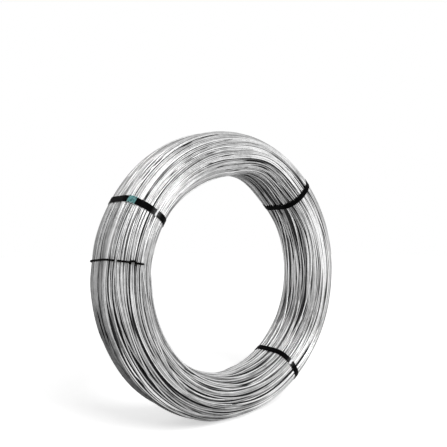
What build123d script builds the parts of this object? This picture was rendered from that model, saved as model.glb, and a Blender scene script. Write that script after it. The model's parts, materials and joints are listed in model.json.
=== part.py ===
from build123d import *
import math
import os

# Coil of wire standing on its rim: its axis lies along Y, its near end faces -Y.
bore_radius = 280.0
bundle_thickness = 120.0
coil_width = 160.0

# Rounding of the bundle's four shoulders, as a share of its section's smaller side.
shoulder_share = 0.45

# Bunches of turns, with grooves between them on the ends, at the bore's edges and round the rim.
bunches_per_end = 5
groove_width = 8.0
groove_depth = 4.0

# Steel strap round the bundle.
strap_width = 16.0
strap_thickness = 0.8
strap_clearance = 0.3
tail_length = 52.0

# Crimp seal over the strap's overlap.
seal_length = 20.0
seal_wall = 1.5
seal_clearance = 0.15
seal_setback = 23.5
notch_length = 3.0
notch_depth = 2.2

# Tie wire over the left of the coil.
tie_diameter = 4.4
tie_clearance = 0.3
tie_leg = 20.0
tie_bend = 2.0
tie_end_run = 11.5
tie_sides = 6
twist_diameter = 6.0
twist_length = 7.0

# Places round the axis, in degrees from +X towards +Z.
strap_upper_left_angle = 149.5
strap_upper_right_angle = 47.3
strap_lower_right_angle = -55.3
tie_angle = 171.5

# Places on the bundle's rounded shoulders, in degrees from straight out, towards +Y.
tie_far_end = 45.0
tie_twist_place = -80.0

outer_radius = bore_radius + bundle_thickness
shoulder_radius = shoulder_share * min(bundle_thickness, coil_width)
mid_radius = bore_radius + bundle_thickness / 2
half_width = coil_width / 2
shoulder_out = outer_radius - shoulder_radius
shoulder_in = bore_radius + shoulder_radius
land_half = half_width - shoulder_radius
shoulder_arc = shoulder_radius * math.pi / 2
end_flat = bundle_thickness - 2 * shoulder_radius
end_path = 2 * shoulder_arc + end_flat
strap_top = strap_clearance + strap_thickness
tail_top = strap_top + strap_thickness
seal_place = math.degrees((seal_length / 2 + seal_setback) / (shoulder_radius + strap_top))
tail_half = math.degrees(tail_length / 2 / (shoulder_radius + strap_top))
tie_lift = tie_clearance + tie_diameter / 2
tie_near_end_radius = shoulder_out - tie_end_run

coil_axis = Axis((0, 0, outer_radius), (0, 1, 0))


def radial_plane(angle):
    a = math.radians(angle)
    return Plane(
        origin=(0, 0, outer_radius),
        x_dir=(math.cos(a), 0, math.sin(a)),
        z_dir=(-math.sin(a), 0, math.cos(a)),
    )


def shoulder_point(place, lift):
    # A point over an outer shoulder: near side for places up to 0, far side above it.
    a = math.radians(place)
    r = shoulder_radius + lift
    y = land_half if place > 0 else -land_half
    return (shoulder_out + r * math.cos(a), y + r * math.sin(a))


def end_point(path, depth):
    # A point on the near end, at a length along its section from the rim to the bore, or a little past it.
    if path <= shoulder_arc:
        return shoulder_point(-path / shoulder_radius * 180 / math.pi, -depth)
    if path <= shoulder_arc + end_flat:
        return (shoulder_out - (path - shoulder_arc), -half_width + depth)
    if path <= end_path:
        a = (path - shoulder_arc - end_flat) / shoulder_radius
        r = shoulder_radius - depth
        return (shoulder_in - r * math.sin(a), -land_half - r * math.cos(a))
    return (bore_radius + depth, -land_half + (path - end_path))


groove = ((-groove_width / 2, 0), (0, groove_depth), (groove_width / 2, 0))


def end_outline(side):
    # Bunches from groove to groove, with their edges on the bundle's rounded section.
    points = [end_point(0, 0)]
    for i in range(bunches_per_end):
        path = (i + 1) * end_path / bunches_per_end
        points += [end_point(path + step, depth) for step, depth in groove]
    return [(x, side * y) for x, y in points]


rim_outline = [(outer_radius, -land_half)]
rim_outline += [(outer_radius - depth, step) for step, depth in groove]
rim_outline += [(outer_radius, land_half)]
wall_half = land_half - groove_width / 2

# The bundle, with the holes in it where the tie wire goes in.
tie_plane = radial_plane(tie_angle)
far_mouth = tie_plane.from_local_coords((*shoulder_point(tie_far_end, tie_diameter), 0))
far_root = tie_plane.from_local_coords((*shoulder_point(tie_far_end, 0), 0))
near_mouth = tie_plane.from_local_coords((tie_near_end_radius, -half_width - tie_diameter, 0))
far_hole = Plane(origin=far_mouth, z_dir=far_root - far_mouth)
near_hole = Plane(origin=near_mouth, z_dir=(0, 1, 0))
hole_radius = tie_diameter / 2 + tie_clearance
hole_depth = tie_leg + 2 * tie_diameter

with BuildPart() as wire_coil:
    with BuildSketch(radial_plane(0)):
        with BuildLine():
            for side in (1, -1):
                Polyline(*end_outline(side))
            Polyline(*rim_outline)
            Line((bore_radius, -wall_half), (bore_radius, wall_half))
        make_face()
    revolve(axis=coil_axis)
    for hole in (far_hole, near_hole):
        with BuildSketch(hole):
            Circle(hole_radius)
        extrude(amount=hole_depth, mode=Mode.SUBTRACT)
wire_coil.part.label = "wire_coil"


def shoulder_band(place, length, low, high):
    # The outline of a curved band over an outer shoulder.
    half = math.degrees(length / 2 / (shoulder_radius + low))
    places = (place - half, place, place + half)
    inner = [shoulder_point(a, low) for a in places]
    outer = [shoulder_point(a, high) for a in places]
    return [
        Edge.make_three_point_arc(*inner),
        Edge.make_line(inner[2], outer[2]),
        Edge.make_three_point_arc(*reversed(outer)),
        Edge.make_line(outer[0], inner[0]),
    ]


def strap(angle, place):
    plane = radial_plane(angle)
    tail_place = place + math.copysign(tail_half, place)
    with BuildPart() as body:
        with BuildSketch(plane):
            with Locations((mid_radius, 0)):
                for lift, mode in ((strap_top, Mode.ADD), (strap_clearance, Mode.SUBTRACT)):
                    RectangleRounded(
                        bundle_thickness + 2 * lift,
                        coil_width + 2 * lift,
                        shoulder_radius + lift,
                        mode=mode,
                    )
        extrude(amount=strap_width / 2, both=True)
        with BuildSketch(plane):
            make_face(shoulder_band(tail_place, tail_length, strap_top, tail_top))
        extrude(amount=strap_width / 2, both=True)
    return body


def seal(angle, place):
    plane = radial_plane(angle)
    inside = tail_top + seal_clearance
    half_inside = strap_width / 2 + seal_clearance
    half_outside = half_inside + seal_wall
    with BuildPart() as body:
        with BuildSketch(plane):
            make_face(shoulder_band(place, seal_length, strap_clearance, inside + seal_wall))
        extrude(amount=half_outside, both=True)
        with BuildSketch(plane):
            make_face(shoulder_band(place, seal_length + 2 * seal_wall, -groove_depth, inside))
        extrude(amount=half_inside, both=True, mode=Mode.SUBTRACT)
        turn = math.degrees(seal_length / 4 / (shoulder_radius + inside))
        for side in (-1, 1):
            with BuildSketch(plane.offset(side * half_outside)):
                for step in (-turn, turn):
                    make_face(shoulder_band(place + step, notch_length, -groove_depth, inside + 2 * seal_wall))
            extrude(amount=-side * notch_depth, mode=Mode.SUBTRACT)
    return body


strap_upper_left = strap(strap_upper_left_angle, -seal_place)
strap_upper_left.part.label = "strap_upper_left"
strap_upper_right = strap(strap_upper_right_angle, seal_place)
strap_upper_right.part.label = "strap_upper_right"
strap_lower_right = strap(strap_lower_right_angle, seal_place)
strap_lower_right.part.label = "strap_lower_right"

seal_upper_left = seal(strap_upper_left_angle, -seal_place)
seal_upper_left.part.label = "seal_upper_left"
seal_upper_right = seal(strap_upper_right_angle, seal_place)
seal_upper_right.part.label = "seal_upper_right"
seal_lower_right = seal(strap_lower_right_angle, seal_place)
seal_lower_right.part.label = "seal_lower_right"

# The tie wire lies over the rim from the far shoulder to the near end, where its legs turn in.
tie_radius = shoulder_radius + tie_lift
far_centre = (shoulder_out, land_half)
bend_distance = tie_radius - tie_bend
bend_turn = math.degrees(math.asin(tie_bend / bend_distance))


def around(centre, distance, angle):
    a = math.radians(angle)
    return (centre[0] + distance * math.cos(a), centre[1] + distance * math.sin(a))


far_bend = around(far_centre, bend_distance, tie_far_end - bend_turn)
far_bend_start = around(far_bend, tie_bend, tie_far_end + 90)
far_bend_mid = around(far_bend, tie_bend, tie_far_end + 45 - bend_turn / 2)
far_leg_end = shoulder_point(tie_far_end, -tie_leg)
over_far = around(far_bend, tie_bend, tie_far_end - bend_turn)
rim_far = (outer_radius + tie_lift, land_half)
rim_near = (outer_radius + tie_lift, -land_half)
end_out = (shoulder_out, -half_width - tie_lift)
near_bend = (tie_near_end_radius + tie_bend, -half_width - tie_lift + tie_bend)
end_in = around(near_bend, tie_bend, -90)
near_bend_mid = around(near_bend, tie_bend, -135)
near_bend_stop = around(near_bend, tie_bend, 180)
near_leg_end = (tie_near_end_radius, -half_width + tie_leg)
twist_lift = tie_clearance + twist_diameter / 2
twist_foot = tie_plane.from_local_coords((*shoulder_point(tie_twist_place, twist_lift), 0))

with BuildPart() as tie_wire:
    with BuildLine(tie_plane) as tie_path:
        Line(far_leg_end, far_bend_start)
        ThreePointArc(far_bend_start, far_bend_mid, over_far)
        ThreePointArc(over_far, shoulder_point(tie_far_end / 2, tie_lift), rim_far)
        Line(rim_far, rim_near)
        ThreePointArc(rim_near, shoulder_point(-45, tie_lift), end_out)
        Line(end_out, end_in)
        ThreePointArc(end_in, near_bend_mid, near_bend_stop)
        Line(near_bend_stop, near_leg_end)
    with BuildSketch(Plane(tie_path.line @ 0, x_dir=tie_plane.z_dir, z_dir=tie_path.line % 0)):
        RegularPolygon(tie_diameter / 2, tie_sides)
    sweep(path=tie_path.line)
    with BuildSketch(Plane(origin=twist_foot, z_dir=tie_plane.z_dir)):
        RegularPolygon(twist_diameter / 2, tie_sides)
    extrude(amount=twist_length)
tie_wire.part.label = "tie_wire"

os.makedirs("parts", exist_ok=True)
export_step(wire_coil.part, "parts/wire_coil.step")
export_step(strap_upper_left.part, "parts/strap_upper_left.step")
export_step(strap_upper_right.part, "parts/strap_upper_right.step")
export_step(strap_lower_right.part, "parts/strap_lower_right.step")
export_step(seal_upper_left.part, "parts/seal_upper_left.step")
export_step(seal_upper_right.part, "parts/seal_upper_right.step")
export_step(seal_lower_right.part, "parts/seal_lower_right.step")
export_step(tie_wire.part, "parts/tie_wire.step")
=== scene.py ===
import json
import math
from functools import partial
import bpy
import numpy as np
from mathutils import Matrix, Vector


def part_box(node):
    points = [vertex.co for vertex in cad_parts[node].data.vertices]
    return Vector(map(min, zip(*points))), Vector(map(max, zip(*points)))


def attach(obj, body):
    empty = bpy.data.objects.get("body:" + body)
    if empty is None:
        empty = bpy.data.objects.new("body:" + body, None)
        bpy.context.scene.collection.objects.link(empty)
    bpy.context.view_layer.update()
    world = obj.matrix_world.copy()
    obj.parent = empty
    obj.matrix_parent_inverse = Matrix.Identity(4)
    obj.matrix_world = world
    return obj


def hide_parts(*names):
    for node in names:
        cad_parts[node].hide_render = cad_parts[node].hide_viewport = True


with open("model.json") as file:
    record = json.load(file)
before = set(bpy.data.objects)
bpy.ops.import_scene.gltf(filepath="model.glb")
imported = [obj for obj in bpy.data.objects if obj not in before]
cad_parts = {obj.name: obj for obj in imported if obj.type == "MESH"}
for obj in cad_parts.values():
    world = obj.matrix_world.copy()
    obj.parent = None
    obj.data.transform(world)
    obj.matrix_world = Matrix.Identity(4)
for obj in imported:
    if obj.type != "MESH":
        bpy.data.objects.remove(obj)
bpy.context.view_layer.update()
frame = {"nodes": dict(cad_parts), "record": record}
print("frame loaded")

# the bundle's section, as the solid coil has it, and the wire that is wound on it
eye = next(m for m in frame["record"]["mounts"] if m["name"] == "eye")
bundle = {
    "eyeRadius": eye["dims"]["r_mm"] / 1000,
    "rimRadius": 0.400,
    "halfWidth": 0.080,
    "shoulder": 0.054,
    "centreHeight": eye["pos_m"][2],
    "wireRadius": 0.0020,
    "stepsRound": 160,
    "seed": 41,
}
bundle["eyeLand"] = bundle["halfWidth"] - bundle["shoulder"]


def deselectAll():
    if bpy.context.object and bpy.context.object.mode != "OBJECT":
        bpy.ops.object.mode_set(mode="OBJECT")
    bpy.ops.object.select_all(action="DESELECT")


def sectionTable(count=3000):
    # the section's outline from the middle of the rim, by the near end and the bore, back to the rim;
    # each row is the radius, the place along the axis, and the two parts of the outward direction
    c = bundle["shoulder"]
    land = bundle["eyeLand"]
    outerR = bundle["rimRadius"] - c
    innerR = bundle["eyeRadius"] + c
    quarter = c * math.pi / 2
    flat = outerR - innerR
    runs = [land, quarter, flat, quarter, 2 * land, quarter, flat, quarter, land]
    stops = np.concatenate([[0], np.cumsum(runs)])
    s = np.linspace(0, stops[-1], count)
    which = np.clip(np.searchsorted(stops, s, side="right") - 1, 0, len(runs) - 1)
    u = s - stops[which]
    a = u / c
    rows = []
    for k, d, q in zip(which, u, a):
        if k == 0:
            rows.append((bundle["rimRadius"], -d, 1, 0))
        elif k == 1:
            rows.append((outerR + c * math.cos(q), -land - c * math.sin(q), math.cos(q), -math.sin(q)))
        elif k == 2:
            rows.append((outerR - d, -land - c, 0, -1))
        elif k == 3:
            rows.append((innerR - c * math.sin(q), -land - c * math.cos(q), -math.sin(q), -math.cos(q)))
        elif k == 4:
            rows.append((bundle["eyeRadius"], -land + d, -1, 0))
        elif k == 5:
            rows.append((innerR - c * math.cos(q), land + c * math.sin(q), -math.cos(q), math.sin(q)))
        elif k == 6:
            rows.append((innerR + d, land + c, 0, 1))
        elif k == 7:
            rows.append((outerR + c * math.sin(q), land + c * math.cos(q), math.sin(q), math.cos(q)))
        else:
            rows.append((bundle["rimRadius"], land - d, 1, 0))
    return stops[-1], s, np.array(rows)


perimeter, tableAlong, tableRows = sectionTable()


def onSection(along):
    s = np.mod(along, perimeter)
    return [np.interp(s, tableAlong, tableRows[:, k]) for k in range(4)]


rng = np.random.default_rng(bundle["seed"])
sinkRng = np.random.default_rng(bundle["seed"] + 1)

# where the bundle is held: the straps and the tie wire pull it tight, and it loosens between them
held = {
    "straps": ("strap_upper_left", "strap_upper_right", "strap_lower_right"),
    "tie": "tie_wire",
    "strapReach": math.radians(34),
    "tieReach": math.radians(11),
    "floorReach": math.radians(16),
    "bulge": 0.0018,
}


def placeRound(node):
    low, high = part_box(node)
    middle = (Vector(low) + Vector(high)) / 2
    return math.atan2(middle[2] - bundle["centreHeight"], middle[0])


def ramp(gap, reach):
    # 0 up to no gap, 1 from reach on
    return np.clip(gap / reach, 0, 1)


def easeFrom(phi, centre, reach):
    # 0 at the centre, 1 from reach on, and smooth between
    t = ramp(np.abs(np.mod(phi - centre + math.pi, 2 * math.pi) - math.pi), reach)
    return t * t * (3 - 2 * t)


def looseness(phi):
    loose = easeFrom(phi, placeRound(held["tie"]), held["tieReach"])
    for node in held["straps"]:
        loose = loose * easeFrom(phi, placeRound(node), held["strapReach"])
    return loose


def offFloor(phi):
    return easeFrom(phi, -math.pi / 2, held["floorReach"])


# the turns lie in bunches, and the bunches in smaller hanks that drift, part and pass over each other;
# a drift has its reach, its fewest and most waves round the coil, and how fast the short waves die down
lay = {
    "bunchesPerEnd": 5,
    "hankSizes": (2, 6),
    "spacing": 1.02,            # of a wire's diameter
    "bunchDrift": (0.0022, 1, 5, 0.8),
    "swell": (0.05, 2, 9, 0.4),     # how much a bunch widens and narrows
    "hankDrift": (0.0026, 2, 8, 0.7),
    "hankWeave": 0.0026,
    "weaveDrift": (1.4, 1, 5, 0.5),
    "wireDrift": (0.0008, 2, 14, 0.5),
    "wireFree": 0.4,            # share of a wire's own drift that it has even where the coil is tight
    "wireUneven": 0.0004,
    "edgeSink": 0.0016,
    "edgePower": 4,
    "partedFrom": 0.003,        # parting from which a bunch's edges sink in full
    "dipDepth": 0.0040,
    "dipHalf": (math.radians(4), math.radians(24)),
    "dipsPerWire": 4.2,
    "sinkEvery": 3,             # one turn in so many sinks, so that dark lines stay one wire wide
    "sinksPerWire": 10.0,
    "dashEvery": 2,             # one turn in so many has short dashes
    "dashesPerWire": 14.0,
    "dashHalf": (math.radians(2.6), math.radians(6)),
    "deepest": 0.0080,
    "bulgeFrom": 0.05,          # along the section, from the middle of the eye
    "bulgeBlend": 0.06,
    "tone": 0.53,
    "unlike": 0.7,              # how much a turn is unlike the one beside it in tone
    "toneDrift": (0.09, 3, 30, 0.9),
    "sides": 6,
}

# tables by degrees round the coil, most with a row for turns outside the eye and one for those inside
# how freely the turns wander
slack = {
    "outer": ((0, 0.48), (20, 0.45), (48, 0.30), (70, 0.35), (95, 0.20), (125, 0.15), (150, 0.25),
              (171, 0.50), (188, 0.80), (210, 1.0), (235, 0.9), (255, 0.60), (275, 0.50), (290, 0.40),
              (304, 0.25), (325, 0.35), (345, 0.40)),
    "inner": ((0, 1.0), (20, 0.9), (48, 0.75), (70, 0.7), (95, 0.25), (125, 0.15), (150, 0.25), (171, 0.5),
              (188, 0.8), (210, 0.9), (235, 0.8), (255, 0.6), (275, 0.5), (290, 0.45), (304, 0.3),
              (325, 0.7), (345, 1.0)),
}
# how far the bunches part, in metres
parting = {
    "outer": ((0, 0.0020), (48, 0.0008), (90, 0.0004), (150, 0.0003), (171, 0.0008), (190, 0.0030),
              (212, 0.0060), (240, 0.0042), (265, 0.0020), (290, 0.0012), (304, 0.0006), (330, 0.0020)),
    "inner": ((0, 0.0040), (30, 0.0050), (48, 0.0034), (70, 0.0022), (90, 0.0012), (150, 0.0003),
              (171, 0.0008), (200, 0.0025), (230, 0.0020), (265, 0.0014), (304, 0.0008), (330, 0.0030)),
}
# how deep a turn's dips go
dipShare = {
    "outer": ((0, 0.45), (30, 0.4), (48, 0.5), (75, 0.45), (95, 0.35), (125, 0.3), (150, 0.55), (171, 0.9),
              (200, 1.2), (225, 1.4), (250, 1.2), (272, 0.8), (304, 0.4), (330, 0.4)),
    "inner": ((0, 1.4), (30, 2.2), (52, 2.4), (66, 1.0), (95, 0.5), (125, 0.45), (171, 0.8), (225, 1.0),
              (250, 1.0), (272, 0.7), (304, 0.5), (330, 1.2)),
}
# how deep the turns that sink go
sinkShare = {
    "outer": ((0, 0.0), (30, 0.2), (45, 0.60), (70, 0.75), (90, 0.2), (125, 0.0), (185, 0.0), (205, 0.6),
              (225, 0.9), (255, 0.8), (272, 0.45), (290, 0.35), (305, 0.3), (325, 0.0)),
    "inner": ((0, 0.0), (30, 0.2), (45, 0.60), (70, 0.80), (90, 0.2), (125, 0.0), (185, 0.0), (205, 0.25),
              (225, 0.25), (255, 0.4), (272, 0.25), (290, 0.15), (305, 0.15), (325, 0.0)),
}
# how deep the short dashes go
dashShare = ((0, 0.12), (48, 0.2), (65, 0.5), (80, 0.75), (125, 0.8), (150, 0.6), (171, 0.35), (200, 0.4),
             (240, 0.45), (275, 0.35), (300, 0.12), (330, 0.12))
# how bright the zinc is, as painted light and shade round the coil: the far rim's painted shade in its own
# right, and the last three as shares of the rest
paintedLight = {
    "outer": ((0, 1.60), (20, 1.70), (45, 1.90), (60, 1.56), (75, 1.44), (90, 1.32), (125, 1.02),
              (138, 0.90), (165, 1.12), (195, 0.74), (210, 0.82), (225, 0.86), (255, 0.82), (272, 1.12),
              (285, 1.50), (305, 1.60), (318, 1.14), (330, 0.74), (345, 1.20)),
    "inner": ((0, 1.32), (30, 1.02), (60, 1.00), (75, 0.98), (100, 1.28), (125, 1.45), (142, 1.10),
              (180, 1.10), (195, 0.88), (225, 1.75), (255, 1.50), (270, 1.80), (285, 1.95), (300, 1.32),
              (315, 0.98), (330, 0.84), (345, 0.90)),
    "farRim": ((0, 0.9), (60, 1.05), (95, 1.05), (145, 0.88), (170, 0.80), (192, 0.30), (205, 0.18),
               (235, 0.18), (262, 0.45), (300, 0.8)),
    "shoulder": ((0, 1.0), (150, 1.0), (165, 1.2), (190, 1.2), (210, 1.6), (230, 1.5), (245, 1.0)),
    "rimEdge": ((0, 0.30), (30, 0.54), (45, 0.80), (95, 1.0), (235, 1.0), (255, 0.65), (275, 1.0),
                (300, 0.95), (330, 0.60), (345, 0.34)),
    "eyeMiddle": ((0, 1.05), (30, 1.05), (48, 0.95), (62, 0.60), (80, 0.50), (100, 0.80), (130, 1.0),
                  (285, 1.1)),
}
# how much the zinc's tone changes from wire to wire and from hank to hank
mottle = {
    "wire": ((0, 0.12), (48, 0.17), (75, 0.11), (95, 0.08), (140, 0.07), (171, 0.08), (195, 0.11),
             (215, 0.19), (240, 0.26), (270, 0.23), (300, 0.19), (330, 0.12)),
    "hank": ((0, 0.08), (48, 0.06), (95, 0.03), (140, 0.03), (171, 0.07), (225, 0.05), (270, 0.03),
             (300, 0.05), (330, 0.08)),
}
# how far the inside of the eye reaches along the section, from its middle
eyeBorder = ((0, 0.050), (30, 0.055), (48, 0.070), (90, 0.085), (270, 0.085), (304, 0.070), (330, 0.052))

# the zones of the section: the inside of the eye, and those with painted light and shade of their own, in
# metres along it
zones = {
    "eyeBlend": 0.016,
    "farFrom": 0.130,           # past the middle of the eye
    "farBlend": 0.030,
    "farRimTo": 0.030,
    "farRimBlend": 0.010,
    "rimEdgeTo": 0.110,
    "rimEdgeBlend": 0.030,
    "shoulderFrom": 0.026,
    "shoulderTo": 0.072,
    "shoulderBlend": 0.008,
    "middleTo": 0.046,          # on both sides of the middle of the eye
    "middleBlend": 0.030,
}
phiSteps = np.linspace(0, 2 * math.pi, bundle["stepsRound"], endpoint=False)
loose = looseness(phiSteps)


def byDegrees(table):
    return np.interp(np.degrees(phiSteps), *zip(*table), period=360)


def insideEye(along):
    # 1 for turns inside the eye, 0 for those outside; along is one place, one for each turn, or one a step
    along = np.asarray(along, dtype=float)
    if along.ndim < 2:
        along = along[..., None]
    gap = np.abs(np.mod(along, perimeter) - perimeter / 2)
    return 1 - ramp(gap - byDegrees(eyeBorder), zones["eyeBlend"])


def byRing(tables, along):
    outer, inner = byDegrees(tables["outer"]), byDegrees(tables["inner"])
    return outer + (inner - outer) * insideEye(along)


# painted light and shade for turns, by their place along the section and round the coil
def paintedLightRound(along):
    s = np.mod(along, perimeter)
    pastEye = s - perimeter / 2
    farEnd = ramp(pastEye - zones["farFrom"], zones["farBlend"])
    farRim = ramp(zones["farRimTo"] - s, zones["farRimBlend"])
    onEdge = ramp(zones["rimEdgeTo"] - s, zones["rimEdgeBlend"])
    onShoulder = ramp(s - zones["shoulderFrom"], zones["shoulderBlend"])
    onShoulder = onShoulder * ramp(zones["shoulderTo"] - s, zones["shoulderBlend"])
    inMiddle = ramp(zones["middleTo"] - np.abs(pastEye), zones["middleBlend"])
    light = byRing(paintedLight, np.atleast_2d(along))
    for title, share in (("rimEdge", onEdge), ("eyeMiddle", inMiddle), ("shoulder", onShoulder)):
        light = light * (1 + (byDegrees(paintedLight[title]) - 1) * share)
    return light + (byDegrees(paintedLight["farRim"]) - light) * np.maximum(farEnd, farRim)


def drift(count, reach, least, most, fall):
    # a slow random line for each of count, closed round the coil
    k = np.arange(least, most + 1)
    size = rng.normal(0, 1, (count, len(k), 1)) / k[:, None] ** fall
    size *= reach / math.sqrt((k ** (-2.0 * fall)).sum() / 2)
    phase = rng.uniform(0, 2 * math.pi, (count, len(k), 1))
    return (size * np.cos(k[:, None] * phiSteps + phase)).sum(1)


def bunchEdges():
    # the grooves of the solid coil, along its section
    land, count = bundle["eyeLand"], lay["bunchesPerEnd"]
    endPath = perimeter / 2 - 2 * land
    oneEnd = [land + (i + 1) * endPath / count for i in range(count)]
    return [0.0] + oneEnd + [perimeter - s for s in reversed(oneEnd)] + [perimeter]


def overAndUnder(count, line):
    # a slow random line for each of count, between 0 and 1
    return 0.5 + 0.5 * np.tanh(drift(count, *line))


def spreadOut(count, jitter):
    # places along the section that are not quite evenly apart
    return (np.arange(count) + rng.uniform(-jitter, jitter, count)) * perimeter / count


def ownTones(count, settings):
    spread = rng.normal(0, settings["toneSpread"], (count, 1))
    return settings["tone"] + spread + drift(count, *settings["toneDrift"])


def layerOf(settings, start, along, under, tone):
    # turns by where they start, their line along the section, their depth under it and their tone
    return {"start": np.mod(start, perimeter), "along": along, "under": under, "tone": np.clip(tone, 0, 1),
            "sides": settings["sides"]}


def dips(source, mean, halves, share):
    # how far one turn dips, at random places round the coil
    deep = np.zeros_like(phiSteps)
    for _ in range(source.poisson(mean)):
        at, half = source.uniform(0, 2 * math.pi), source.uniform(*halves)
        deep = deep + lay["dipDepth"] * (1 - easeFrom(phiSteps, at, half)) * share
    return deep


def topTurns():
    wire = bundle["wireRadius"]
    pitch = 2 * wire * lay["spacing"]
    starts, alongs, unders, tones, before = [], [], [], [], 0.0
    edges = bunchEdges()
    for low, high in zip(edges[:-1], edges[1:]):
        count = round((high - low) / pitch)
        centre = (low + high) / 2
        free, partBy, dipBy, sinkBy = (byRing(t, centre) for t in (slack, parting, dipShare, sinkShare))
        dashBy = byDegrees(dashShare)
        bunchLine = drift(1, *lay["bunchDrift"])[0] * free
        swell = 1 + drift(1, *lay["swell"])[0] * free
        squeeze = (high - low - partBy) / (count * pitch)
        left = count
        place = -(count - 1) / 2
        while left:
            size = min(left, int(rng.integers(*lay["hankSizes"])))
            hankLine = drift(1, *lay["hankDrift"])[0] * free
            hankDepth = lay["hankWeave"] * free * overAndUnder(1, lay["weaveDrift"])[0]
            hankTone = rng.normal(0, 1) * byDegrees(mottle["hank"])
            own = drift(size, *lay["wireDrift"]) * (lay["wireFree"] + (1 - lay["wireFree"]) * free)
            for i in range(size):
                offset = (place + i) * pitch
                edge = abs(offset) / ((high - low) / 2)
                edgeSink = lay["edgeSink"] * edge ** lay["edgePower"] * ramp(partBy, lay["partedFrom"])
                under = wire + hankDepth + edgeSink + lay["wireUneven"] * rng.uniform(0, 1)
                under = under + dips(rng, lay["dipsPerWire"], lay["dipHalf"], dipBy)
                if len(starts) % lay["sinkEvery"] == 0:
                    under = under + dips(sinkRng, lay["sinksPerWire"], lay["dipHalf"], sinkBy)
                if len(starts) % lay["dashEvery"] == 0:
                    under = under + dips(sinkRng, lay["dashesPerWire"], lay["dashHalf"], dashBy)
                along = centre + offset * squeeze * swell + bunchLine + hankLine + own[i]
                outside = ramp(np.abs(along - perimeter / 2) - lay["bulgeFrom"], lay["bulgeBlend"])
                under = under - held["bulge"] * loose * offFloor(phiSteps) * outside
                starts.append(centre + offset)
                alongs.append(along)
                unders.append(np.minimum(under, lay["deepest"]))
                fresh = rng.normal(0, 1)
                wireTone = (fresh - lay["unlike"] * before) * byDegrees(mottle["wire"])
                before = fresh
                tone = lay["tone"] + hankTone + wireTone + drift(1, *lay["toneDrift"])[0]
                # the turn's own tone times the painted light and shade round the coil
                tones.append(tone * paintedLightRound(along)[0])
            place += size
            left -= size
    return layerOf(lay, np.array(starts), np.array(alongs), np.array(unders), np.array(tones))


# a second layer of turns, which shows between the top ones
lower = {
    "jitter": 0.2,
    "drift": (0.0014, 1, 6, 0.7),
    "depth": 0.0040,
    "weave": 0.0012,
    "weaveDrift": (1.2, 1, 4, 0.5),
    "tone": 0.44,
    "toneSpread": 0.10,
    "toneDrift": (0.06, 3, 20, 0.3),
    "sides": 5,
}


def lowerTurns():
    wire = bundle["wireRadius"]
    count = round(perimeter / (2 * wire * lay["spacing"]))
    start = spreadOut(count, lower["jitter"])
    along = start[:, None] + drift(count, *lower["drift"]) * byRing(slack, start)
    under = wire + lower["depth"] + lower["weave"] * overAndUnder(count, lower["weaveDrift"])
    return layerOf(lower, start, along, under, ownTones(count, lower))


# one turn sunk in each groove between two bunches
sunk = {
    "drift": (0.0026, 1, 6, 0.6),
    "depth": 0.0008,
    "weave": 0.0030,
    "weaveDrift": (1.6, 1, 7, 0.3),
    "partingShare": 0.8,        # how much deeper it lies where the bunches part
    "tone": 0.46,
    "toneSpread": 0.08,
    "toneDrift": (0.10, 3, 20, 0.3),
    "sides": 6,
}


def grooveTurns():
    start = np.array(bunchEdges()[:-1])
    count = len(start)
    along = start[:, None] + drift(count, *sunk["drift"]) * byRing(slack, start)
    under = bundle["wireRadius"] + sunk["depth"] + sunk["weave"] * overAndUnder(count, sunk["weaveDrift"])
    under = under + sunk["partingShare"] * byRing(parting, start)
    # the turns' own tones times the painted light and shade round the coil
    return layerOf(sunk, start, along, under, ownTones(count, sunk) * paintedLightRound(along))


# single turns that cross over the rest between the straps
stray = {
    "count": 22,
    "jitter": 0.4,
    "drift": (0.009, 1, 4, 0.6),
    "overDrift": (2.0, 1, 4, 0.4),
    "lift": 0.0022,
    "sink": 1.2,                # in wire radii, where it goes under
    "tone": 0.59,
    "toneSpread": 0.10,
    "toneDrift": (0.08, 3, 20, 0.3),
    "sides": 6,
}


def strayTurns():
    count = stray["count"]
    start = spreadOut(count, stray["jitter"])
    along = start[:, None] + drift(count, *stray["drift"]) * byRing(slack, start)
    over = overAndUnder(count, stray["overDrift"])
    rise = loose * offFloor(phiSteps) * (held["bulge"] + stray["lift"] * over)
    under = bundle["wireRadius"] * (1 + stray["sink"] * (1 - over)) - rise
    # the turns' own tones times the painted light and shade round the coil
    return layerOf(stray, start, along, under, ownTones(count, stray) * paintedLightRound(along))


# one turn lies on top of the tie wire and holds it down
overTie = {
    "place": 0.0663,
    "drift": (0.0008, 1, 4, 0.5),
    "depth": 0.0003,
    "hump": 0.0094,
    "reach": math.radians(8),
    "tone": 0.46,
    "toneDrift": (0.06, 3, 20, 0.3),
    "sides": 6,
}


def turnOverTie():
    start = np.array([overTie["place"]])
    along = start[:, None] + drift(1, *overTie["drift"]) * byRing(slack, start)
    hump = overTie["hump"] * (1 - easeFrom(phiSteps, placeRound(held["tie"]), overTie["reach"]))
    under = bundle["wireRadius"] + overTie["depth"] - hump[None, :]
    return layerOf(overTie, start, along, under, overTie["tone"] + drift(1, *overTie["toneDrift"]))


# the inside of the bundle is drawn up between the two upper straps
tuck = {"centre": math.radians(75), "reach": math.radians(25), "depth": 0.018, "from": 0.385, "over": 0.09}


def tuckIn(r, phi):
    inside = ramp(tuck["from"] - r, tuck["over"])
    return r + tuck["depth"] * (1 - easeFrom(phi, tuck["centre"], tuck["reach"])) * inside


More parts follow.
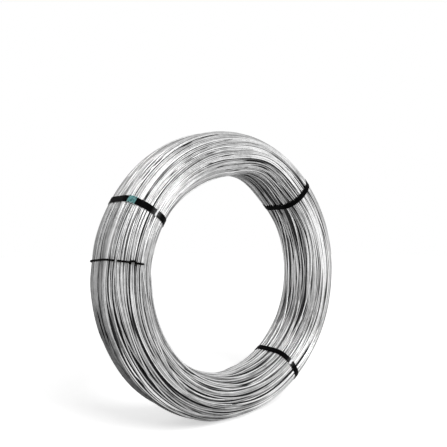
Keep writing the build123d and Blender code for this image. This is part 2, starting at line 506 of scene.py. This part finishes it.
def tubes(layer, pick):
    # closed round tubes along the picked turns, with each vertex's tone and depth
    along, under = layer["along"][pick], layer["under"][pick]
    phi = phiSteps[None, :]
    r, y, nr, ny = onSection(along)
    r = tuckIn(r - nr * under, phi)
    y = y - ny * under
    cosP, sinP = np.cos(phi), np.sin(phi)
    centre = np.stack([r * cosP, y + 0 * phi, r * sinP + bundle["centreHeight"]], -1)
    out = np.stack([nr * cosP, ny + 0 * phi, nr * sinP], -1)
    ahead = np.roll(centre, -1, 1) - np.roll(centre, 1, 1)
    ahead /= np.linalg.norm(ahead, axis=-1, keepdims=True)
    side = np.cross(ahead, out)
    side /= np.linalg.norm(side, axis=-1, keepdims=True)
    out = np.cross(side, ahead)
    sides = layer["sides"]
    turn = np.arange(sides) * 2 * math.pi / sides
    ring = np.cos(turn)[:, None] * out[:, :, None, :] + np.sin(turn)[:, None] * side[:, :, None, :]
    verts = centre[:, :, None, :] + bundle["wireRadius"] * ring
    count, steps = along.shape
    index = np.arange(count * steps * sides).reshape(count, steps, sides)
    nextStep, nextSide = np.roll(index, -1, 1), np.roll(index, -1, 2)
    faces = np.stack([index, nextSide, np.roll(nextSide, -1, 1), nextStep], -1).reshape(-1, 4)
    tone = np.broadcast_to(layer["tone"][pick][:, :, None], index.shape)
    deep = under[:, :, None] - bundle["wireRadius"] * np.cos(turn)
    return verts.reshape(-1, 3), faces, tone.ravel(), deep.ravel()


def joinedMesh(name, parts):
    verts, faces, tones, deeps, offset = [], [], [], [], 0
    for v, f, t, d in parts:
        verts.append(v)
        faces.append(f + offset)
        tones.append(t)
        deeps.append(d)
        offset += len(v)
    verts, faces = np.concatenate(verts), np.concatenate(faces)
    mesh = bpy.data.meshes.new(name)
    mesh.vertices.add(len(verts))
    mesh.vertices.foreach_set("co", verts.astype(np.float32).ravel())
    mesh.loops.add(faces.size)
    mesh.loops.foreach_set("vertex_index", faces.astype(np.int32).ravel())
    mesh.polygons.add(len(faces))
    mesh.polygons.foreach_set("loop_start", np.arange(0, faces.size, 4, dtype=np.int32))
    mesh.update(calc_edges=True)
    mesh.validate()
    mesh.polygons.foreach_set("use_smooth", np.ones(len(faces), dtype=bool))
    for key, values in (("tone", np.concatenate(tones)), ("depth", np.concatenate(deeps))):
        mesh.attributes.new(key, "FLOAT", "POINT").data.foreach_set("value", values.astype(np.float32))
    piece = bpy.data.objects.new(name, mesh)
    bpy.context.collection.objects.link(piece)
    return piece


turnLayers = [topTurns(), grooveTurns(), lowerTurns(), strayTurns(), turnOverTie()]

# the joined pieces, by the stretch of the section their turns start on
eighth = perimeter / 8
stretches = {
    "rim_turns": lambda s: (s < eighth) | (s >= 7 * eighth),
    "near_end_turns": lambda s: (s >= eighth) & (s < 3 * eighth),
    "eye_turns": lambda s: (s >= 3 * eighth) & (s < 5 * eighth),
    "far_end_turns": lambda s: (s >= 5 * eighth) & (s < 7 * eighth),
}
turnPieces = []
for name, chosen in stretches.items():
    parts = []
    for layer in turnLayers:
        pick = np.nonzero(chosen(layer["start"]))[0]
        if len(pick):
            parts.append(tubes(layer, pick))
    piece = joinedMesh(name, parts)
    turnPieces.append(piece)
    print(name, "triangles", 2 * len(piece.data.polygons))

# what lies under the turns: an inner bundle, spun from a rounded plate, near black as painted shade between
# and under the turns
inner = {"depth": 0.0080, "roundSteps": 96, "cornerSteps": 8, "weld": 0.0001}
deselectAll()
bpy.ops.mesh.primitive_plane_add(size=1, location=(0, 0, 0))
innerTurns = bpy.context.object
innerTurns.name = "inner_turns"
thick = bundle["rimRadius"] - bundle["eyeRadius"]
innerTurns.scale = (thick - 2 * inner["depth"], 2 * (bundle["halfWidth"] - inner["depth"]), 1)
innerTurns.location = ((bundle["rimRadius"] + bundle["eyeRadius"]) / 2, 0, bundle["centreHeight"])
bpy.ops.object.transform_apply(location=True, rotation=True, scale=True)
bpy.ops.object.mode_set(mode="EDIT")
bpy.ops.mesh.select_all(action="SELECT")
bpy.ops.mesh.bevel(offset=bundle["shoulder"] - inner["depth"], segments=inner["cornerSteps"],
                   affect="VERTICES")
bpy.ops.mesh.select_all(action="SELECT")
bpy.ops.mesh.delete(type="ONLY_FACE")
bpy.ops.mesh.select_all(action="SELECT")
bpy.ops.mesh.spin(steps=inner["roundSteps"], angle=2 * math.pi, center=(0, 0, bundle["centreHeight"]),
                  axis=(0, 1, 0))
bpy.ops.mesh.select_all(action="SELECT")
bpy.ops.mesh.remove_doubles(threshold=inner["weld"])
bpy.ops.mesh.normals_make_consistent(inside=False)
bpy.ops.object.mode_set(mode="OBJECT")
for vert in innerTurns.data.vertices:
    up = vert.co.z - bundle["centreHeight"]
    r, phi = math.hypot(vert.co.x, up), math.atan2(up, vert.co.x)
    grow = float(tuckIn(np.array(r), np.array(phi))) / r
    vert.co.x *= grow
    vert.co.z = bundle["centreHeight"] + up * grow
bpy.ops.object.shade_smooth()
print("inner turns made")

# the tie wire: two strands, twisted together on the near shoulder, each with a leg between the turns
tie = {
    "wireRadius": 0.0024,
    "lift": 0.0026,
    "farEnd": -0.0690,          # places along the section, from the middle of the rim to the near end
    "nearEnd": 0.1300,
    "twist": (0.0960, 0.1070),
    "twistTurns": 0.5,
    "twistRadius": 0.0036,
    "twistSteps": 19,
    "leg": 0.012,
    "bend": 0.001,
    "risenFrom": 0.006,         # past the leg
    "runTo": 0.004,             # short of the twist
    "runSteps": 14,
    "stub": 0.0045,
    "stubBend": 0.6,            # of the stub
    # degrees off its line, by places along the section
    "sway": ((-0.070, 0.70), (0.0, 0.05), (0.030, -0.30), (0.090, -0.35), (0.131, -0.25)),
    "weld": 0.00001,
}


def tiePoint(along, lift, aside=0.0):
    r, y, nr, ny = (float(v) for v in onSection(along))
    sway = np.interp(along, *zip(*tie["sway"]))
    phi = placeRound(held["tie"]) + math.radians(sway) + aside / r
    r += nr * lift
    return (r * math.cos(phi), y + ny * lift, bundle["centreHeight"] + r * math.sin(phi))


def tieStrand(start, end, phase):
    # from the leg at start, over the turns, to the twist and out at its end
    step = 1 if end > start else -1
    into, out = tie["twist"][::step]
    bend = step * tie["bend"]
    run = np.linspace(start + step * tie["risenFrom"], into - step * tie["runTo"], tie["runSteps"])
    points = [tiePoint(start, -tie["leg"]), tiePoint(start, 0), tiePoint(start + bend, tie["lift"])]
    points += [tiePoint(s, tie["lift"]) for s in run]
    for t in np.linspace(0, 1, tie["twistSteps"]):
        turn = phase + step * t * tie["twistTurns"] * 2 * math.pi
        lift = tie["lift"] + tie["twistRadius"] * (1 + math.cos(turn))
        points.append(tiePoint(into + (out - into) * t, lift, tie["twistRadius"] * math.sin(turn)))
    low = tie["lift"] + tie["twistRadius"]
    points.append(tiePoint(out + bend, low, tie["stub"] * tie["stubBend"]))
    points.append(tiePoint(out - bend, low + tie["bend"], tie["stub"]))
    return points


tieStrands = []
ways = ((tie["farEnd"], tie["nearEnd"], math.pi), (tie["nearEnd"], tie["farEnd"], 2 * math.pi))
for start, end, phase in ways:
    deselectAll()
    bpy.ops.curve.primitive_nurbs_path_add(location=(0, 0, 0))
    strand = bpy.context.object
    points = tieStrand(start, end, phase)
    strand.data.splines.clear()
    spline = strand.data.splines.new("NURBS")
    spline.points.add(len(points) - 1)
    for point, place in zip(spline.points, points):
        point.co = (*place, 1)
    spline.order_u = 3
    spline.use_endpoint_u = True
    spline.resolution_u = 4
    strand.data.bevel_depth = tie["wireRadius"]
    strand.data.bevel_resolution = 3
    strand.data.use_fill_caps = True
    bpy.ops.object.convert(target="MESH")
    tieStrands.append(bpy.context.object)
deselectAll()
for strand in tieStrands:
    strand.select_set(True)
bpy.context.view_layer.objects.active = tieStrands[0]
bpy.ops.object.join()
twistedTie = bpy.context.object
twistedTie.name = "twisted_tie"
bpy.ops.object.mode_set(mode="EDIT")
bpy.ops.mesh.select_all(action="SELECT")
bpy.ops.mesh.remove_doubles(threshold=tie["weld"])
bpy.ops.mesh.normals_make_consistent(inside=False)
bpy.ops.object.mode_set(mode="OBJECT")
bpy.ops.object.shade_smooth()
print("tie wire twisted", len(twistedTie.data.polygons))


def newMaterial(name):
    mat = bpy.data.materials.new(name)
    mat.use_nodes = True
    nodes = mat.node_tree.nodes
    return mat, nodes, mat.node_tree.links, nodes["Principled BSDF"]


def newGroup(name, inputs, outputs):
    # inputs and outputs are the titles of the sockets, by their kind
    group = bpy.data.node_groups.new(name, "ShaderNodeTree")
    for way, sockets in (("INPUT", inputs), ("OUTPUT", outputs)):
        for kind, titles in sockets.items():
            for title in titles:
                group.interface.new_socket(title, in_out=way, socket_type="NodeSocket" + kind)
    nodes = group.nodes
    return group, nodes, group.links, nodes.new("NodeGroupInput"), nodes.new("NodeGroupOutput")


def mathNode(nodes, links, operation, a, b=None, c=None, clamp=False):
    node = nodes.new("ShaderNodeMath")
    node.operation = operation
    node.use_clamp = clamp
    for socket, value in zip(node.inputs, (a, b, c)):
        if isinstance(value, (int, float)):
            socket.default_value = value
        elif value is not None:
            links.new(value, socket)
    return node.outputs["Value"]


def rangeNode(nodes, links, value, low, high, toLow, toHigh, smooth=False):
    node = nodes.new("ShaderNodeMapRange")
    if smooth:
        node.interpolation_type = "SMOOTHSTEP"
    for title, number in (("From Min", low), ("From Max", high), ("To Min", toLow), ("To Max", toHigh)):
        if isinstance(number, (int, float)):
            node.inputs[title].default_value = number
        else:
            links.new(number, node.inputs[title])
    links.new(value, node.inputs["Value"])
    return node.outputs["Result"]


def noiseNode(nodes, links, vector, scale, detail, roughness=0.55):
    node = nodes.new("ShaderNodeTexNoise")
    node.inputs["Detail"].default_value = detail
    node.inputs["Roughness"].default_value = roughness
    if isinstance(scale, (int, float)):
        node.inputs["Scale"].default_value = scale
    else:
        links.new(scale, node.inputs["Scale"])
    links.new(vector, node.inputs["Vector"])
    return node.outputs["Fac"]


def mixColour(nodes, links, factor, a, b):
    node = nodes.new("ShaderNodeMix")
    node.data_type = "RGBA"
    links.new(factor, node.inputs["Factor"])
    colourA, colourB, mixed = node.inputs[6], node.inputs[7], node.outputs[2]
    for socket, value in ((colourA, a), (colourB, b)):
        if isinstance(value, tuple):
            socket.default_value = (*value, 1)
        else:
            links.new(value, socket)
    return mixed


# drawn metal: cloudy patches, fine grain and small pits; a range of four maps the first two onto the last two
metal = {
    "cloudDetail": 4,
    "cloud": (0.3, 0.7, 0.0, 1.0),
    "grainDetail": 3,
    "grainRoughness": 0.6,
    "pits": (0.36, 0.30, 0.0, 1.0),
    "roughness": 0.16,
    "roughGrain": 0.16,
    "roughCloud": 0.16,
}


def drawnGrainGroup():
    group, nodes, links, given, result = newGroup(
        "drawnGrain",
        {"Vector": ("Vector",), "Float": ("Cloud Scale", "Grain Scale")},
        {"Float": ("Cloud", "Roughness", "Height")})
    calc, remap = partial(mathNode, nodes, links), partial(rangeNode, nodes, links)
    vector = given.outputs["Vector"]
    cloud = noiseNode(nodes, links, vector, given.outputs["Cloud Scale"], metal["cloudDetail"])
    grain = noiseNode(nodes, links, vector, given.outputs["Grain Scale"], metal["grainDetail"],
                      metal["grainRoughness"])
    links.new(remap(cloud, *metal["cloud"]), result.inputs["Cloud"])
    rough = calc("MULTIPLY_ADD", grain, metal["roughGrain"], metal["roughness"])
    rough = calc("MULTIPLY_ADD", cloud, metal["roughCloud"], rough)
    links.new(rough, result.inputs["Roughness"])
    links.new(calc("SUBTRACT", grain, remap(grain, *metal["pits"])), result.inputs["Height"])
    return group


# paint on a band of steel: worn along the edges, scratched lengthwise, and rubbed and scuffed bare at one
# place, where the bare steel also stands for a painted glint
wear = {
    "bandCentre": 0.34,         # from the coil's axis to the line that the band goes round
    "streakAlong": 6.0,
    "streakAcross": 1500.0,
    "streakDetail": 3,
    "blotchScale": 160.0,
    "blotchDetail": 4,
    "blotchRoughness": 0.62,
    "edge": (0.72, 1.0, 0.0, 1.0),
    "worn": (0.45, 0.62, 0.0, 1.0),
    "scratchGain": 9.0,
    "scuffRagged": 0.006,
    "scuffGain": 900.0,
    "rubbed": 0.16,
    "rubStreak": (0.35, 0.65, 0.1, 1.0),
    "mottle": (0.36, 0.64),
    "roughness": 0.28,
    "roughStreak": 0.3,
    "roughBare": -0.08,
    "heightStreak": 0.4,
    "heightBare": -0.6,
    "bump": (0.3, 0.0003),
}


def wornPaintGroup():
    group, nodes, links, given, result = newGroup(
        "wornPaint",
        {"Vector": ("Vector",), "Color": ("Paint", "Bare"),
         "Float": ("Half Width", "Wear", "Scratch", "Mottle Low", "Mottle High", "Rub Reach", "Scuff Out",
                   "Scuff Along", "Scuff Reach")},
        {"Color": ("Color",), "Float": ("Bare", "Roughness", "Height")})
    calc, remap = partial(mathNode, nodes, links), partial(rangeNode, nodes, links)
    asked = given.outputs
    split = nodes.new("ShaderNodeSeparateXYZ")
    links.new(asked["Vector"], split.inputs["Vector"])
    out, axial, across = split.outputs
    angle = calc("ARCTAN2", axial, calc("SUBTRACT", out, wear["bandCentre"]))
    lengthwise = nodes.new("ShaderNodeCombineXYZ")
    links.new(calc("MULTIPLY", angle, wear["streakAlong"]), lengthwise.inputs["X"])
    links.new(calc("MULTIPLY", across, wear["streakAcross"]), lengthwise.inputs["Y"])
    streak = noiseNode(nodes, links, lengthwise.outputs["Vector"], 1.0, wear["streakDetail"])
    blotch = noiseNode(nodes, links, asked["Vector"], wear["blotchScale"], wear["blotchDetail"],
                       wear["blotchRoughness"])
    edge = remap(calc("DIVIDE", calc("ABSOLUTE", across), asked["Half Width"]), *wear["edge"], smooth=True)
    worn = calc("MULTIPLY", calc("MULTIPLY", edge, blotch), asked["Wear"])
    worn = remap(worn, *wear["worn"])
    scratched = calc("SUBTRACT", streak, calc("SUBTRACT", 1.0, asked["Scratch"]))
    scratched = calc("MULTIPLY", scratched, wear["scratchGain"], clamp=True)
    # the scuff and the rub round it: worn bare steel that is also a painted glint
    alongGap = calc("SUBTRACT", axial, asked["Scuff Along"])
    outGap = calc("SUBTRACT", out, asked["Scuff Out"])
    away = calc("SQRT", calc("ADD", calc("MULTIPLY", alongGap, alongGap), calc("MULTIPLY", outGap, outGap)))
    near = calc("SUBTRACT", asked["Scuff Reach"], away)
    near = calc("MULTIPLY_ADD", calc("SUBTRACT", blotch, 0.5), wear["scuffRagged"], near)
    scuffAndGlint = calc("MULTIPLY", near, wear["scuffGain"], clamp=True)
    rubbed = remap(away, 0.0, asked["Rub Reach"], wear["rubbed"], 0.0, smooth=True)
    rubbed = calc("MULTIPLY", rubbed, remap(streak, *wear["rubStreak"]))
    bare = worn
    for more in (scratched, scuffAndGlint, rubbed):
        bare = calc("MAXIMUM", bare, more)
    dull = nodes.new("ShaderNodeHueSaturation")
    blotched = remap(blotch, *wear["mottle"], asked["Mottle Low"], asked["Mottle High"])
    links.new(blotched, dull.inputs["Value"])
    links.new(asked["Paint"], dull.inputs["Color"])
    links.new(mixColour(nodes, links, bare, dull.outputs["Color"], asked["Bare"]), result.inputs["Color"])
    links.new(bare, result.inputs["Bare"])
    rough = calc("MULTIPLY_ADD", streak, wear["roughStreak"], wear["roughness"])
    links.new(calc("MULTIPLY_ADD", bare, wear["roughBare"], rough), result.inputs["Roughness"])
    height = calc("MULTIPLY_ADD", streak, wear["heightStreak"], blotch)
    links.new(calc("MULTIPLY_ADD", bare, wear["heightBare"], height), result.inputs["Height"])
    return group


drawnGrain, wornPaint = drawnGrainGroup(), wornPaintGroup()


def placeGroup(nodes, group, values):
    node = nodes.new("ShaderNodeGroup")
    node.node_tree = group
    for title, value in values.items():
        node.inputs[title].default_value = (*value, 1) if isinstance(value, tuple) else value
    return node


def bumpInto(nodes, links, height, shader, strength, distance):
    bump = nodes.new("ShaderNodeBump")
    bump.inputs["Strength"].default_value = strength
    bump.inputs["Distance"].default_value = distance
    links.new(height, bump.inputs["Height"])
    links.new(bump.outputs["Normal"], shader.inputs["Normal"])


def attribute(nodes, name):
    node = nodes.new("ShaderNodeAttribute")
    node.attribute_name = name
    return node.outputs["Fac"]


# zinc wire: its tone runs from dark to lightest, and the gap colour is painted shade, laid on by depth under
# the top of the turns
zinc = {
    "dark": (0.03, 0.0305, 0.031),
    "clean": (0.88, 0.88, 0.88),
    "gap": (0.025, 0.025, 0.026),
    "gapDepth": (0.0006, 0.0044, 0.0, 1.0),
    "cloud": 0.16,
    "metallic": 0.85,
    "edgeTint": (0.45, 0.45, 0.45),
    "grain": {"Cloud Scale": 70.0, "Grain Scale": 900.0},
    "bump": (0.25, 0.0002),
}


def zincMaterial():
    mat, nodes, links, shader = newMaterial("zincWire")
    calc, remap = partial(mathNode, nodes, links), partial(rangeNode, nodes, links)
    shader.inputs["Metallic"].default_value = zinc["metallic"]
    shader.inputs["Specular Tint"].default_value = (*zinc["edgeTint"], 1)
    coords = nodes.new("ShaderNodeTexCoord")
    grain = placeGroup(nodes, drawnGrain, zinc["grain"])
    links.new(coords.outputs["Object"], grain.inputs["Vector"])
    clouded = calc("SUBTRACT", grain.outputs["Cloud"], 0.5)
    # the tone attribute carries the painted light and shade round the coil as well as the turns' own tone
    tone = calc("MULTIPLY_ADD", clouded, zinc["cloud"], attribute(nodes, "tone"), clamp=True)
    colour = mixColour(nodes, links, tone, zinc["dark"], zinc["clean"])
    # painted shade: darker towards the gap colour with depth between and under the turns
    shade = remap(attribute(nodes, "depth"), *zinc["gapDepth"])
    links.new(mixColour(nodes, links, shade, colour, zinc["gap"]), shader.inputs["Base Color"])
    links.new(grain.outputs["Roughness"], shader.inputs["Roughness"])
    bumpInto(nodes, links, grain.outputs["Height"], shader, *zinc["bump"])
    return mat


def grainedMaterial(name, finish):
    mat, nodes, links, shader = newMaterial(name)
    shader.inputs["Specular IOR Level"].default_value = finish["gloss"]
    coords = nodes.new("ShaderNodeTexCoord")
    grain = placeGroup(nodes, drawnGrain, finish["grain"])
    links.new(coords.outputs["Object"], grain.inputs["Vector"])
    colour = mixColour(nodes, links, grain.outputs["Cloud"], finish["dark"], finish["light"])
    links.new(colour, shader.inputs["Base Color"])
    rough = mathNode(nodes, links, "ADD", grain.outputs["Roughness"], finish["rougher"])
    links.new(rough, shader.inputs["Roughness"])
    bumpInto(nodes, links, grain.outputs["Height"], shader, *finish["bump"])
    return mat


def bandMaterial(name, node, finish):
    # the pattern turns with the band, so that it runs lengthwise
    mat, nodes, links, shader = newMaterial(name)
    shader.inputs["Specular IOR Level"].default_value = finish["gloss"]
    coords = nodes.new("ShaderNodeTexCoord")
    mapping = nodes.new("ShaderNodeMapping")
    mapping.vector_type = "TEXTURE"
    mapping.inputs["Location"].default_value = (0, 0, bundle["centreHeight"])
    mapping.inputs["Rotation"].default_value = (0, -placeRound(node), 0)
    links.new(coords.outputs["Object"], mapping.inputs["Vector"])
    mottleLow, mottleHigh = finish["mottle"]
    scuffOut, scuffAlong, scuffReach = finish["scuff"]
    worn = placeGroup(nodes, wornPaint, {
        "Paint": finish["paint"], "Bare": finish["bare"], "Half Width": finish["halfWidth"],
        "Wear": finish["wear"], "Scratch": finish["scratch"], "Rub Reach": finish["rub"],
        "Mottle Low": mottleLow, "Mottle High": mottleHigh,
        "Scuff Out": scuffOut, "Scuff Along": scuffAlong, "Scuff Reach": scuffReach})
    links.new(mapping.outputs["Vector"], worn.inputs["Vector"])
    links.new(worn.outputs["Color"], shader.inputs["Base Color"])
    links.new(worn.outputs["Bare"], shader.inputs["Metallic"])
    links.new(worn.outputs["Roughness"], shader.inputs["Roughness"])
    bumpInto(nodes, links, worn.outputs["Height"], shader, *wear["bump"])
    return mat


# a scuff is its place out from the axis and along it, and its reach, which is under 0 where there is none
strapFinish = {
    "paint": (0.0022, 0.0022, 0.0024),
    "bare": (0.75, 0.75, 0.76),
    "halfWidth": 0.008,
    "wear": 0.80,
    "scratch": 0.22,
    "gloss": 0.008,
    "mottle": (0.6, 1.5),
    "rub": 0.018,
    "scuff": (0.0, 0.0, -1.0),
}
sealFinish = {
    "paint": (0.036, 0.125, 0.125),
    "bare": (0.50, 0.62, 0.60),
    "halfWidth": 0.0097,
    "wear": 1.3,
    "scratch": 0.42,
    "gloss": 0.4,
    "mottle": (0.3, 2.2),
    "rub": 0.001,
    "scuff": (0.0, 0.0, -1.0),
}
# the scuffs sit where the straps show a glint: worn bare steel that is also a painted highlight
scuffsAndGlints = {"strap_upper_left": (0.3315, -0.0815, 0.0028), "strap_lower_right": (0.3164, -0.0785, 0.0042)}
# near black: painted shade under and between the turns
innerShadeFinish = {
    "dark": (0.008, 0.008, 0.008),
    "light": (0.03, 0.03, 0.03),
    "gloss": 0.1,
    "grain": {"Cloud Scale": 50.0, "Grain Scale": 1400.0},
    "rougher": 0.2,
    "bump": (0.3, 0.0002),
}
tieFinish = {
    "dark": (0.0012, 0.0012, 0.0012),
    "light": (0.005, 0.0046, 0.0042),
    "gloss": 0.008,
    "grain": {"Cloud Scale": 160.0, "Grain Scale": 1400.0},
    "rougher": 0.2,
    "bump": (0.3, 0.0002),
}

zincWire = zincMaterial()
darkInner = grainedMaterial("darkInner", innerShadeFinish)
blackWire = grainedMaterial("blackWire", tieFinish)

for piece in turnPieces + [innerTurns]:
    piece.data.materials.clear()
    piece.data.materials.append(darkInner if piece is innerTurns else zincWire)
    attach(piece, "root")
    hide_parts("wire_coil")

twistedTie.data.materials.clear()
twistedTie.data.materials.append(blackWire)
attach(twistedTie, "root")
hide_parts("tie_wire")

bandFinishes = {"strap": strapFinish, "seal": sealFinish}
for name, node in frame["nodes"].items():
    kind, *rest = name.split("_")
    if kind in bandFinishes:
        finish = dict(bandFinishes[kind])
        finish["scuff"] = scuffsAndGlints.get(name, finish["scuff"])
        title = kind + "".join(word.capitalize() for word in rest)
        node.data.materials.clear()
        node.data.materials.append(bandMaterial(title, name, finish))
print("finishes set")

# floor and world: white to the camera and in reflections, and dimmer as a light
studio = {
    "floorSize": 30,
    "floorColour": (0.9, 0.9, 0.9, 1),
    "floorRoughness": 0.9,
    "floorGlow": (0.6, 3.5, 0.55, 0.85),    # distances from the middle, and the floor's white there
    "worldColour": (1, 1, 1, 1),
    "worldLight": 0.35,
}


def seenDirectly(nodes, links, dim, full):
    path = nodes.new("ShaderNodeLightPath")
    seen = path.outputs["Is Camera Ray"]
    for ray in ("Is Glossy Ray", "Is Transmission Ray"):
        seen = mathNode(nodes, links, "MAXIMUM", seen, path.outputs[ray])
    return rangeNode(nodes, links, seen, 0.0, 1.0, dim, full)


deselectAll()
bpy.ops.mesh.primitive_plane_add(size=studio["floorSize"], location=(0, 0, 0))
floor = bpy.context.object
floor.name = "studio_floor"
floorMat, nodes, links, shader = newMaterial("studioFloor")
shader.inputs["Base Color"].default_value = studio["floorColour"]
shader.inputs["Roughness"].default_value = studio["floorRoughness"]
coords = nodes.new("ShaderNodeTexCoord")
away = nodes.new("ShaderNodeVectorMath")
away.operation = "LENGTH"
links.new(coords.outputs["Object"], away.inputs[0])
glow = rangeNode(nodes, links, away.outputs["Value"], *studio["floorGlow"])
links.new(glow, shader.inputs["Emission Color"])
links.new(seenDirectly(nodes, links, 0.0, 1.0), shader.inputs["Emission Strength"])
floor.data.materials.append(floorMat)

world = bpy.data.worlds.new("studioWorld")
bpy.context.scene.world = world
world.use_nodes = True
nodes, links = world.node_tree.nodes, world.node_tree.links
background = nodes["Background"]
background.inputs["Color"].default_value = studio["worldColour"]
links.new(seenDirectly(nodes, links, studio["worldLight"], 1.0), background.inputs["Strength"])

softbox = {"place": (-0.5, -2.35, 2.2), "aim": (0, 0, 0.4), "size": 1.5, "power": 62}
deselectAll()
bpy.ops.object.light_add(type="AREA", location=softbox["place"])
lamp = bpy.context.object
lamp.name = "keySoftbox"
lamp.data.shape = "DISK"
lamp.data.size = softbox["size"]
lamp.data.energy = softbox["power"]
lamp.rotation_euler = (Vector(softbox["place"]) - Vector(softbox["aim"])).to_track_quat("Z", "Y").to_euler()
print("floor and light set")

# camera at the photograph's angle
view = {
    "azimuth": -39.8,
    "elevation": 4.1,
    "distance": 1.4,
    "sensorWidth": 36,
    "focalPixels": 488.2,
    "imagePixels": 447,
    "coilCentrePixels": (228.5, 277.1),
}
azimuth, elevation = math.radians(view["azimuth"]), math.radians(view["elevation"])
level = math.cos(elevation)
back = Vector((math.sin(azimuth) * level, -math.cos(azimuth) * level, math.sin(elevation)))
target = Vector((0, 0, bundle["centreHeight"]))
deselectAll()
bpy.ops.object.camera_add(location=target + back * view["distance"])
camera = bpy.context.object
camera.rotation_euler = back.to_track_quat("Z", "Y").to_euler()
camera.data.sensor_width = view["sensorWidth"]
camera.data.lens = view["focalPixels"] / view["imagePixels"] * view["sensorWidth"]
half = view["imagePixels"] / 2
camera.data.shift_x = (half - view["coilCentrePixels"][0]) / view["imagePixels"]
camera.data.shift_y = (view["coilCentrePixels"][1] - half) / view["imagePixels"]
bpy.context.scene.camera = camera
bpy.context.scene.view_settings.view_transform = "Standard"
print("camera set")
